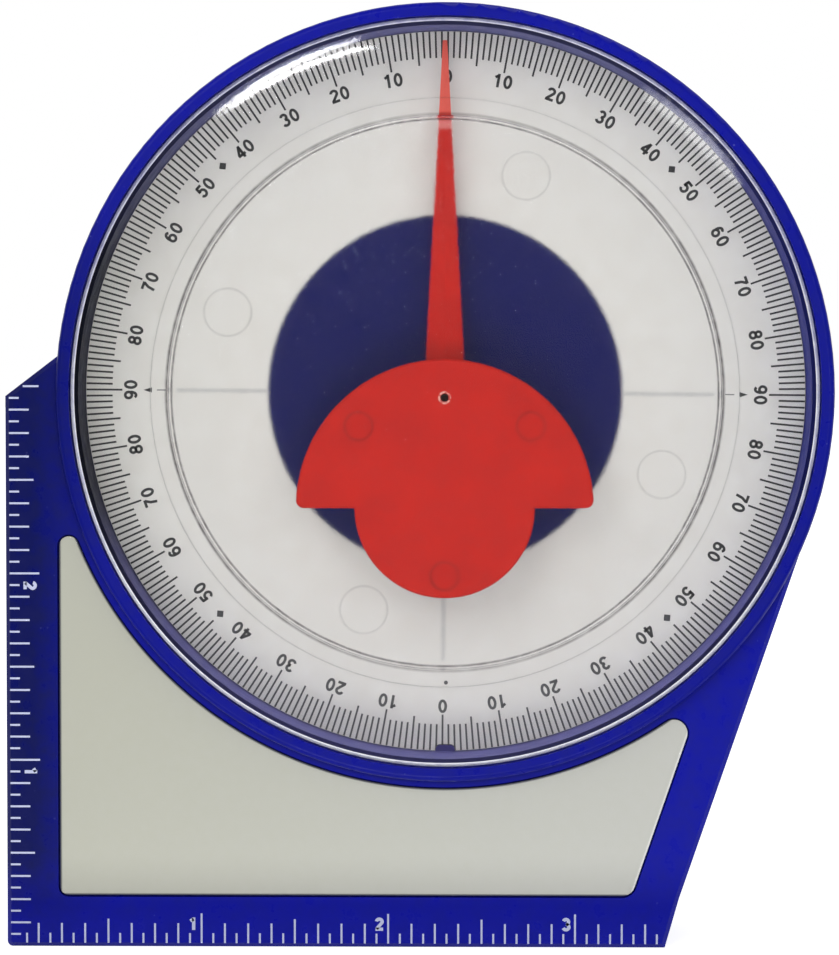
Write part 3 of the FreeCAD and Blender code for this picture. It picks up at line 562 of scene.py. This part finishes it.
inkFinishes = {
    # The full ink, the thin ink, the roughness, and the ink at the bottom of the dial.
    "dialInk": ((0.012, 0.012, 0.014), (0.09, 0.09, 0.09), 0.5, (0.12, 0.12, 0.12)),
    "lineInk": ((0.20, 0.20, 0.20), (0.30, 0.30, 0.30), 0.5, None),
    "crossInk": ((0.50, 0.50, 0.49), (0.66, 0.65, 0.62), 0.5, None),
    "foilPale": ((0.62, 0.66, 0.86), (0.30, 0.33, 0.62), 0.4, None),
}
inkGrain = {"size": 0.25, "thin": 0.5, "bottomFall": (-24.0, -48.0)}


def makeInk(name):
    # Printing ink that is a little uneven: a fine noise thins it, and the dial's is paler towards the bottom.
    full, thin, roughness, bottomInk = inkFinishes[name]
    material, tree, shader, coords = startMaterial(name, full, Roughness=roughness)
    grain = useGroup(tree, fineGrain, coords, Size=inkGrain["size"])
    base = mixColor(tree, product(tree, grain["Height"], inkGrain["thin"]), full, thin)
    if bottomInk:
        place = useGroup(tree, dialRadius, coords)
        base = mixColor(tree, spread(tree, place["Up"], *inkGrain["bottomFall"]), base, bottomInk)
    wire(tree, base, shader.inputs["Base Color"])
    return material


edgeHighlightPaint = {
    "dim": (0.34, 0.34, 0.62),
    "white": (0.94, 0.95, 0.99),
    "roughness": 0.4,
    "fall": (25.0, -35.0, 0.5, 0.95),
    "grainSize": 1.4,
    "uneven": (0.35, 0.65, -0.2, 0.2),
}


def makeEdgePale():
    # Painted highlight: the light caught in the lens's edge, nearly white along the bottom, bluish grey above,
    # uneven all round.
    values = edgeHighlightPaint
    material, tree, shader, coords = startMaterial("paintedEdgeHighlight", values["white"], Roughness=values["roughness"])
    place = useGroup(tree, dialRadius, coords)
    grain = useGroup(tree, fineGrain, coords, Size=values["grainSize"])
    tone = mathNode(tree, "ADD", spread(tree, place["Up"], *values["fall"]),
                    spread(tree, grain["Height"], *values["uneven"]), clamp=True)
    wire(tree, mixColor(tree, tone, values["dim"], values["white"]), shader.inputs["Base Color"])
    return material


caseBlue = makeCaseBlue()
plateSilver = makePlateSilver()
lensClear = makeLensClear()
pendulumRed = makePendulumRed()
paintedEdgeHighlight = makeEdgePale()
dialWhite, magnetGrey, washerWhite = (makePlain(name) for name in plainFinishes)
brass, steel, screwSteel = (makeMetal(name) for name in metalFinishes)
dialInk, lineInk, crossInk, foilPale = (makeInk(name) for name in inkFinishes)

finishes = {
    "housing": caseBlue, "rear_cover": caseBlue, "front_plate": plateSilver, "rear_plate": plateSilver,
    "dial_plate": dialWhite, "lens": lensClear, "pendulum_disc": pendulumRed, "needle": pendulumRed,
    "counterweight": steel, "pivot_bush": brass, "pivot_pin": steel, "thrust_washer": washerWhite,
    "rear_cover_screws": screwSteel,
}
for name, node in nodes.items():
    kind = "magnet" if name.startswith("magnet") else "keeper" if name.startswith("keeper") else ""
    finish = {"magnet": magnetGrey, "keeper": steel}.get(kind) or finishes[name]
    node.data.materials.clear()
    node.data.materials.append(finish)
print("finishes given")


def addPiece(name, mesh, material):
    piece = bpy.data.objects.new(name, mesh)
    bpy.context.scene.collection.objects.link(piece)
    mesh.materials.clear()
    mesh.materials.append(material)
    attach(piece, "case")


def meshOf(name, points, faces):
    mesh = bpy.data.meshes.new(name)
    mesh.from_pydata((np.asarray(points) * mm).tolist(), [], np.asarray(faces).tolist())
    mesh.update()
    return mesh


def barMesh(name, middles, directions, lengths, widths, floorY, proud=0.03):
    # Thin bars on a flat face: each corner is the middle plus or minus half the length along the bar's
    # direction and half the width across it, once on the face and once a little in front of it.
    middles, directions = np.asarray(middles, float), np.asarray(directions, float)
    lengths, widths = np.broadcast_to(lengths, len(middles)), np.broadcast_to(widths, len(middles))
    across = np.stack([directions[:, 1], -directions[:, 0]], 1)
    signs = np.array([(-1, -1), (1, -1), (1, 1), (-1, 1)])
    flat = (middles[:, None] + signs[None, :, :1] * directions[:, None] * lengths[:, None, None] / 2
            + signs[None, :, 1:] * across[:, None] * widths[:, None, None] / 2)
    levels = [np.insert(flat, 1, floorY - lift, axis=2) for lift in (0.0, proud)]
    points = np.concatenate(levels, 1).reshape(-1, 3)
    box = np.array([(0, 3, 2, 1), (4, 5, 6, 7), (0, 1, 5, 4), (1, 2, 6, 5), (2, 3, 7, 6), (3, 0, 4, 7)])
    faces = (box[None] + 8 * np.arange(len(middles))[:, None, None]).reshape(-1, 4)
    return meshOf(name, points, faces)


def prismMesh(name, shapes, floorY, proud=0.03):
    # Thin prisms with equal numbers of corners: each outline once on the face and once a little in front of it.
    shapes = np.asarray(shapes, float)
    inward = np.cross(shapes[:, 1] - shapes[:, 0], shapes[:, 2] - shapes[:, 1]) < 0
    shapes = np.where(inward[:, None, None], shapes[:, ::-1], shapes)
    count, size = shapes.shape[:2]
    levels = [np.insert(shapes, 1, floorY - lift, axis=2) for lift in (0.0, proud)]
    here = np.arange(size)
    ahead = (here + 1) % size
    sides = np.stack([here, ahead, ahead + size, here + size], 1)
    offsets = 2 * size * np.arange(count)
    faces = (sides[None] + offsets[:, None, None]).reshape(-1, 4).tolist()
    faces += (here[::-1][None] + offsets[:, None]).tolist() + (here[None] + size + offsets[:, None]).tolist()
    mesh = bpy.data.meshes.new(name)
    mesh.from_pydata((np.concatenate(levels, 1).reshape(-1, 3) * mm).tolist(), [], faces)
    mesh.update()
    return mesh


dialPrint = {
    "turn": 0.45,            # the print sits turned by this much, clockwise
    "outer": 49.45,
    "inner": {1: 45.85, 5: 44.9, 10: 44.5},
    "tickWidth": 0.26,
    "numberRadius": 43.35,
    "numberHeight": 1.88,
    "squareSize": 0.86,
    "squareRadius": 43.6,
    "squareTurn": 6.0,
    "arrowLine": (38.5, 39.75),
    "arrowHead": (40.45, 41.6),
    "arrowWidth": 0.72,
    "arrowLineWidth": 0.17,
    "dotPlace": (0.1, -40.1),
    "dotRadius": 0.28,
    "crossLine": (24.6, 37.0),
    "crossWidth": 0.5,
}


def dialDirections(degrees):
    # Clockwise from the top: (sine, cosine) of the angle plus the print's turn.
    turned = np.radians(np.asarray(degrees, float) + dialPrint["turn"])
    return np.stack([np.sin(turned), np.cos(turned)], 1)


def addDialTicks():
    degrees = np.arange(360)
    inner = np.where(degrees % 10 == 0, dialPrint["inner"][10],
                     np.where(degrees % 5 == 0, dialPrint["inner"][5], dialPrint["inner"][1]))
    directions = dialDirections(degrees)
    middles = np.array([dialX, dialZ]) + directions * ((inner + dialPrint["outer"]) / 2)[:, None]
    mesh = barMesh("dialTicks", middles, directions, dialPrint["outer"] - inner, dialPrint["tickWidth"],
                   dialFront)
    addPiece("dialTicks", mesh, dialInk)


digitShape = {"stroke": 0.2, "halfWidth": 0.225, "halfHeight": 0.4, "advance": 0.77}


def arcPath(x, y, wide, tall, start, end, count=15):
    # Part of an ellipse: (x + wide cos t, y + tall sin t), with t from start to end.
    t = np.radians(np.linspace(start, end, count))
    return np.stack([x + wide * np.cos(t), y + tall * np.sin(t)], 1)


def digitPaths():
    # The middle line of each digit's strokes, in a box one unit high, and whether the stroke is closed.
    a, b = digitShape["halfWidth"], digitShape["halfHeight"]
    curl = arcPath(0, -0.155, a, b - 0.155, 0, 336, 22)
    hook = arcPath(0.0, 0.0, a, b, 184, 48, 14)
    return {
        "0": [(arcPath(0, 0, a, b, 0, 348, 30), True)],
        "1": [([(-0.19, 0.215), (0.07, b - 0.03)], False), ([(0.07, b + 0.095), (0.07, -b - 0.095)], False)],
        "2": [(np.concatenate([arcPath(0, b - 0.205, a, 0.205, 172, -28, 13), [(-a, -b + 0.02)]]), False),
              ([(-a - 0.08, -b), (a + 0.07, -b)], False)],
        "3": [(arcPath(-0.01, 0.208, a - 0.02, 0.2045, 160, -90, 15), False),
              (arcPath(-0.01, -0.2, a + 0.005, 0.2125, 90, -160, 15), False)],
        "4": [([(0.10, -b - 0.085), (0.10, b + 0.07)], False), ([(0.085, b), (-a - 0.02, -0.20)], False),
              ([(-a - 0.09, -0.225), (a + 0.09, -0.225)], False)],
        "5": [([(a + 0.05, b), (-0.155, b)], False), ([(-0.125, b + 0.06), (-0.165, 0.0)], False),
              (arcPath(-0.005, -0.14, a + 0.005, b - 0.14, 140, -158, 17), False)],
        "6": [(curl, True), (hook, False)],
        "7": [([(-a - 0.06, b), (a + 0.06, b)], False), ([(a + 0.01, b), (0.02, 0.02), (-0.06, -b - 0.08)], False)],
        "8": [(arcPath(0, 0.21, a - 0.03, 0.2025, 0, 345, 24), True),
              (arcPath(0, -0.195, a, 0.2175, 0, 345, 24), True)],
        "9": [(-curl, True), (-hook, False)],
    }


def strokeEdges(path, width, closed):
    # Both sides of a stroke: each point moves half the width along the mean of its two neighbours' normals,
    # lengthened at a corner so that the stroke keeps its width.
    steps = np.roll(path, -1, 0) - path
    steps /= np.linalg.norm(steps, axis=1)[:, None]
    before = np.roll(steps, 1, 0)
    if not closed:
        steps[-1], before[0] = steps[-2], steps[0]
    first, second = (np.stack([-item[:, 1], item[:, 0]], 1) for item in (before, steps))
    shift = (first + second) / (1 + (first * second).sum(1))[:, None] * width / 2
    return path + shift, path - shift


def strokesMesh(name, strokes, floorY, proud=0.03):
    # A thin solid along each stroke: four rows of corners, two on the face and two a little in front.
    allPoints, allFaces, count = [], [], 0
    for path, width, closed in strokes:
        left, right = strokeEdges(np.asarray(path, float), width, closed)
        size = len(left)
        rows = [np.insert(side, 1, floorY - lift, axis=1) for side, lift in
                ((left, 0.0), (right, 0.0), (right, proud), (left, proud))]
        allPoints.append(np.concatenate(rows))
        here = np.arange(size if closed else size - 1)
        ahead = (here + 1) % size
        band = [np.stack([here + row * size, ahead + row * size, ahead + (row + 1) % 4 * size,
                          here + (row + 1) % 4 * size], 1) for row in range(4)]
        faces = np.concatenate(band)
        if not closed:
            ends = np.array([(0, size, 2 * size, 3 * size), (4 * size - 1, 3 * size - 1, 2 * size - 1, size - 1)])
            faces = np.concatenate([faces, ends])
        allFaces.append(faces + count)
        count += 4 * size
    return meshOf(name, np.concatenate(allPoints), np.concatenate(allFaces))


def numberStrokes(words, height, place, angle, weight=1.0):
    # The strokes of one number, scaled to its height, turned clockwise by the angle and moved to its place.
    turn = math.radians(angle)
    turned = np.array([(math.cos(turn), -math.sin(turn)), (math.sin(turn), math.cos(turn))])
    strokes = []
    for index, digit in enumerate(words):
        shift = (index - (len(words) - 1) / 2) * digitShape["advance"]
        for path, closed in digits[digit]:
            points = (np.asarray(path, float) + (shift, 0)) * height
            strokes.append((points @ turned + place, digitShape["stroke"] * weight * height, closed))
    return strokes


digits = digitPaths()


def addDialNumbers():
    strokes = []
    for degrees in range(0, 360, 10):
        number = degrees % 180 if degrees % 180 <= 90 else 180 - degrees % 180
        place = np.array([dialX, dialZ]) + dialDirections([degrees])[0] * dialPrint["numberRadius"]
        strokes += numberStrokes(str(number), dialPrint["numberHeight"], place, degrees + dialPrint["turn"])
    addPiece("dialNumbers", strokesMesh("dialNumbers", strokes, dialFront), dialInk)


def addDialMarks():
    # A square at each 45 degrees, a short line and an arrow head inside each 90, a dot over the lower 0, and the
    # three arms of a cross that the pendulum leaves to be seen.
    middle = np.array([dialX, dialZ])
    corners = dialDirections([45, 135, 225, 315])
    tilt = math.radians(dialPrint["squareTurn"])
    directions = np.tile([math.sin(tilt), math.cos(tilt)], (4, 1))
    mesh = barMesh("dialSquares", middle + corners * dialPrint["squareRadius"], directions,
                   dialPrint["squareSize"], dialPrint["squareSize"], dialFront)
    addPiece("dialSquares", mesh, dialInk)
    sides = dialDirections([90, 270])
    start, end = dialPrint["arrowLine"]
    mesh = barMesh("dialArrowLines", middle + sides * (start + end) / 2, sides, end - start,
                   dialPrint["arrowLineWidth"], dialFront)
    addPiece("dialArrowLines", mesh, lineInk)
    base, tip = dialPrint["arrowHead"]
    wings = np.stack([-sides[:, 1], sides[:, 0]], 1) * dialPrint["arrowWidth"] / 2
    heads = np.stack([middle + sides * tip, middle + sides * base + wings, middle + sides * base - wings], 1)
    addPiece("dialArrowHeads", prismMesh("dialArrowHeads", heads, dialFront), dialInk)
    dot = middle + dialPrint["dotPlace"]
    circle = arcPath(*dot, dialPrint["dotRadius"], dialPrint["dotRadius"], 0, 345, 24)
    addPiece("dialDot", prismMesh("dialDot", circle[None], dialFront), dialInk)
    directions = dialDirections([90, 180, 270])
    start, end = dialPrint["crossLine"]
    mesh = barMesh("dialCrossLines", middle + directions * (start + end) / 2, directions, end - start,
                   dialPrint["crossWidth"], dialFront)
    addPiece("dialCrossLines", mesh, crossInk)


inch = 25.4
rulerPrint = {
    "step": inch / 16,
    "lengths": {16: 4.05, 8: 3.3, 2: 2.7, 1: 1.35},
    "width": 0.26,
    "baseZero": 1.13,        # from the left edge
    "baseCount": 55,
    "baseStart": 0.55,       # from the lower edge
    "armCount": 48,
    "armStart": 0.55,        # from the left edge
    "armZero": 0.15,         # from the lower edge
    "topCut": 1.9,
    "numberHeight": 1.72,
    "numberWeight": 1.3,
    "baseNumber": (-1.2, 3.2),              # from the inch's mark, and from the lower edge
    "armNumber": 3.35,                      # from the left edge
    "armNumberRise": {1: -1.35, 2: -1.5},   # from the inch's height
}


def rulerLengths(marks):
    lengths = np.full(len(marks), rulerPrint["lengths"][1])
    for step in (2, 8, 16):
        lengths = np.where(marks % step == 0, rulerPrint["lengths"][step], lengths)
    return lengths


def addRulers():
    marks = np.arange(1, rulerPrint["baseCount"] + 1)
    lengths = rulerLengths(marks)
    x = leftX + rulerPrint["baseZero"] + marks * rulerPrint["step"]
    middles = np.stack([x, rulerPrint["baseStart"] + lengths / 2], 1)
    directions = np.tile([0.0, 1.0], (len(marks), 1))
    mesh = barMesh("baseRulerMarks", middles, directions, lengths, rulerPrint["width"], faceY)
    addPiece("baseRulerMarks", mesh, foilPale)
    marks = np.arange(1, rulerPrint["armCount"] + 1)
    lengths = rulerLengths(marks)
    z = rulerPrint["armZero"] + marks * rulerPrint["step"]
    # The topmost mark is cut short by the slope at the arm's upper end.
    cut = np.where(marks == rulerPrint["armCount"], rulerPrint["topCut"], 0.0)
    lengths = lengths - cut
    middles = np.stack([leftX + rulerPrint["armStart"] + cut + lengths / 2, z], 1)
    directions = np.tile([1.0, 0.0], (len(marks), 1))
    mesh = barMesh("armRulerMarks", middles, directions, lengths, rulerPrint["width"], faceY)
    addPiece("armRulerMarks", mesh, foilPale)
    strokes = []
    height, weight = rulerPrint["numberHeight"], rulerPrint["numberWeight"]
    shift, baseRise = rulerPrint["baseNumber"]
    for number in (1, 2, 3):
        place = (leftX + rulerPrint["baseZero"] + number * inch + shift, baseRise)
        strokes += numberStrokes(str(number), height, place, 0, weight)
    for number, rise in rulerPrint["armNumberRise"].items():
        place = (leftX + rulerPrint["armNumber"], number * inch + rise)
        strokes += numberStrokes(str(number), height, place, 90, weight)
    addPiece("rulerNumbers", strokesMesh("rulerNumbers", strokes, faceY), foilPale)


edgeLine = {"inner": 50.0, "corner": 50.15, "outer": 50.49, "thick": 0.02, "sides": 256}


def addEdgeLine():
    # A painted highlight for the light that the lens's edge catches all round: a thin band laid on the rim of its
    # face and on the bevel, whose profile goes back as far as it goes outwards from the corner.
    inner, corner, outer = (edgeLine[name] for name in ("inner", "corner", "outer"))
    thick = edgeLine["thick"]
    profile = np.array([(inner, 0.0), (corner, 0.0), (outer, outer - corner),
                        (outer, outer - corner - thick), (corner, -thick), (inner, -thick)])
    size, rows = edgeLine["sides"], len(profile)
    turn = 2 * np.pi * np.arange(size)[:, None] / size
    radius, depth = profile[None, :, 0], profile[None, :, 1]
    points = np.stack([dialX + radius * np.cos(turn), lensFront + depth + 0 * turn,
                       dialZ + radius * np.sin(turn)], 2)
    here = np.arange(size)[:, None] * rows
    ahead = (here + rows) % (rows * size)
    row, after = np.arange(rows)[None], (np.arange(rows)[None] + 1) % rows
    faces = np.stack([here + row, ahead + row, ahead + after, here + after], 2).reshape(-1, 4)
    addPiece("lensEdgeHighlight", meshOf("lensEdgeHighlight", points.reshape(-1, 3), faces), paintedEdgeHighlight)


addDialTicks()
addDialNumbers()
addDialMarks()
addRulers()
addEdgeLine()
print("prints laid")


cameraView = {
    "place": (0.00745, -0.47808, 0.08202),
    "down": 2.207,
    "left": 0.895,
    "focal": 3457.5,      # in pixels of a picture that is 955 pixels tall
    "tall": 955,
    "sensor": 36,
    "nearest": 0.01,
}


def addCamera():
    data = bpy.data.cameras.new("camera")
    data.sensor_width = cameraView["sensor"]
    data.lens = cameraView["focal"] * cameraView["sensor"] / cameraView["tall"]
    data.clip_start = cameraView["nearest"]
    camera = bpy.data.objects.new("camera", data)
    camera.location = cameraView["place"]
    camera.rotation_euler = (math.radians(90 - cameraView["down"]), 0, math.radians(cameraView["left"]))
    bpy.context.scene.collection.objects.link(camera)
    bpy.context.scene.camera = camera


lights = {
    # name: place, aim, width, height, watts
    "keyLight": ((-0.42, -1.00, 0.60), (0.0, 0.0, 0.07), 0.7, 0.7, 3.5),
    "lowLight": ((-0.05, -1.00, -0.45), (0.0, 0.0, 0.06), 0.6, 0.3, 2.7),
    "sideLight": ((0.60, -1.10, 0.25), (0.0, 0.0, 0.06), 0.5, 0.5, 1.6),
}


def addLights():
    for name, (place, aim, width, height, watts) in lights.items():
        data = bpy.data.lights.new(name, "AREA")
        data.shape = "RECTANGLE"
        data.size, data.size_y = width, height
        data.energy = watts
        lamp = bpy.data.objects.new(name, data)
        lamp.location = place
        lamp.rotation_euler = (Vector(aim) - Vector(place)).to_track_quat("-Z", "Y").to_euler()
        bpy.context.scene.collection.objects.link(lamp)


def lookingRays(tree):
    # 1 for rays that only look at the background, through glass and mirrors too, and 0 once light is scattered.
    path = addNode(tree, "ShaderNodeLightPath")
    seen = mathNode(tree, "MAXIMUM", path.outputs["Is Camera Ray"], path.outputs["Is Glossy Ray"])
    seen = mathNode(tree, "MAXIMUM", seen, path.outputs["Is Transmission Ray"])
    return product(tree, seen, below(tree, path.outputs["Diffuse Depth"], 0.5)), path


studio = {
    "ambient": 0.60,
    "camSide": 0.10,
    "sideTurn": (-0.35, 0.35),
    "floor": (4.0, -0.03, 4.0),      # half the width, the front and the rear
    "floorWhite": 0.75,
}
glintShape = {"away": -1000.0, "steps": 40, "noiseScale": 300.0, "noiseShare": 1.6, "lit": (1.05, 1.45)}
glints = {
    # name: start and end in degrees, radius at both ends, width where the lens mirrors it, strength
    "streakUpper": (102.0, 131.0, 48.85, 48.45, 1.0, 34.0),
    "streakLower": (100.0, 130.5, 47.50, 48.05, 0.9, 34.0),
    "hazeStrip": (34.0, 58.0, 48.40, 48.40, 3.6, 4.0),
}


def addGlints():
    # White strips behind the camera that the lens mirrors as arcs along its edge: a point of the lens mirrors
    # the point as far beyond it as the camera's own distance and the strip's distance add up to.
    camX, camY, camZ = (value / mm for value in cameraView["place"])
    away, steps = glintShape["away"], glintShape["steps"]
    reach = 1 + (lensFront - away) / (lensFront - camY)
    for name, (start, end, startRadius, endRadius, width, strength) in glints.items():
        # Three rows of corners along the arc; the core is 1 on the middle row and fades to 0 at the edges and ends.
        share = np.linspace(0, 1, steps + 1)[:, None]
        turn = np.radians(start + (end - start) * share)
        radius = startRadius + (endRadius - startRadius) * share + np.array([[-0.5, 0.0, 0.5]]) * width
        x = camX + (dialX + radius * np.cos(turn) - camX) * reach
        z = camZ + (dialZ + radius * np.sin(turn) - camZ) * reach
        points = np.stack([x, away + 0 * x, z], 2).reshape(-1, 3)
        here = (np.arange(steps)[:, None] * 3 + np.arange(2)[None]).ravel()
        mesh = meshOf(name, points, np.stack([here, here + 1, here + 4, here + 3], 1))
        core = np.array([[0.0, 1.0, 0.0]]) * np.sqrt(np.sin(np.pi * share))
        mesh.attributes.new("core", "FLOAT", "POINT").data.foreach_set("value", core.ravel().astype(np.float32))
        strip = bpy.data.objects.new(name, mesh)
        bpy.context.scene.collection.objects.link(strip)
        # The strip is ragged: it shines where the core and a fine noise together are high.
        material, tree, shader, coords = startMaterial(name, (0.0, 0.0, 0.0), Roughness=1.0,
                                                       Emission_Color=(1, 1, 1, 1))
        noise = addNode(tree, "ShaderNodeTexNoise", {"Scale": glintShape["noiseScale"], "Detail": 3.0,
                                                     "Roughness": 0.6})
        wire(tree, coords, noise.inputs["Vector"])
        middle = addNode(tree, "ShaderNodeAttribute", attribute_name="core").outputs["Fac"]
        level = mathNode(tree, "MULTIPLY_ADD", noise.outputs["Fac"], glintShape["noiseShare"], middle)
        wire(tree, spread(tree, level, *glintShape["lit"], 0.0, strength), shader.inputs["Emission Strength"])
        strip.data.materials.append(material)


def addWorld():
    world = bpy.data.worlds.new("studio")
    bpy.context.scene.world = world
    world.use_nodes = True
    tree = world.node_tree
    background = tree.nodes["Background"]
    background.inputs["Color"].default_value = (1, 1, 1, 1)
    seen, path = lookingRays(tree)
    # The studio is white behind the object and dim on the camera's side, where only mirror rays look.
    direction = addNode(tree, "ShaderNodeTexCoord").outputs["Generated"]
    parts = addNode(tree, "ShaderNodeSeparateXYZ")
    wire(tree, direction, parts.inputs["Vector"])
    behind = spread(tree, parts.outputs["Y"], *studio["sideTurn"], studio["camSide"], 1.0)
    level = mathNode(tree, "MAXIMUM", path.outputs["Is Camera Ray"], behind)
    lit = product(tree, seen, mathNode(tree, "SUBTRACT", level, studio["ambient"]))
    wire(tree, mathNode(tree, "ADD", lit, studio["ambient"]), background.inputs["Strength"])


def addFloor():
    wide, near, far = studio["floor"]
    mesh = bpy.data.meshes.new("floor")
    mesh.from_pydata([(-wide, near, 0), (wide, near, 0), (wide, far, 0), (-wide, far, 0)], [], [(0, 1, 2, 3)])
    floor = bpy.data.objects.new("floor", mesh)
    bpy.context.scene.collection.objects.link(floor)
    material, tree, shader, coords = startMaterial("floorWhite", (0.8, 0.8, 0.8), Roughness=0.9,
                                                   Specular_IOR_Level=0.0, Emission_Color=(1, 1, 1, 1))
    seen, path = lookingRays(tree)
    wire(tree, product(tree, seen, studio["floorWhite"]), shader.inputs["Emission Strength"])
    mesh.materials.append(material)


addCamera()
addLights()
addWorld()
addFloor()
addGlints()
bpy.context.scene.view_settings.view_transform = "Standard"
print("camera, lights and floor set")
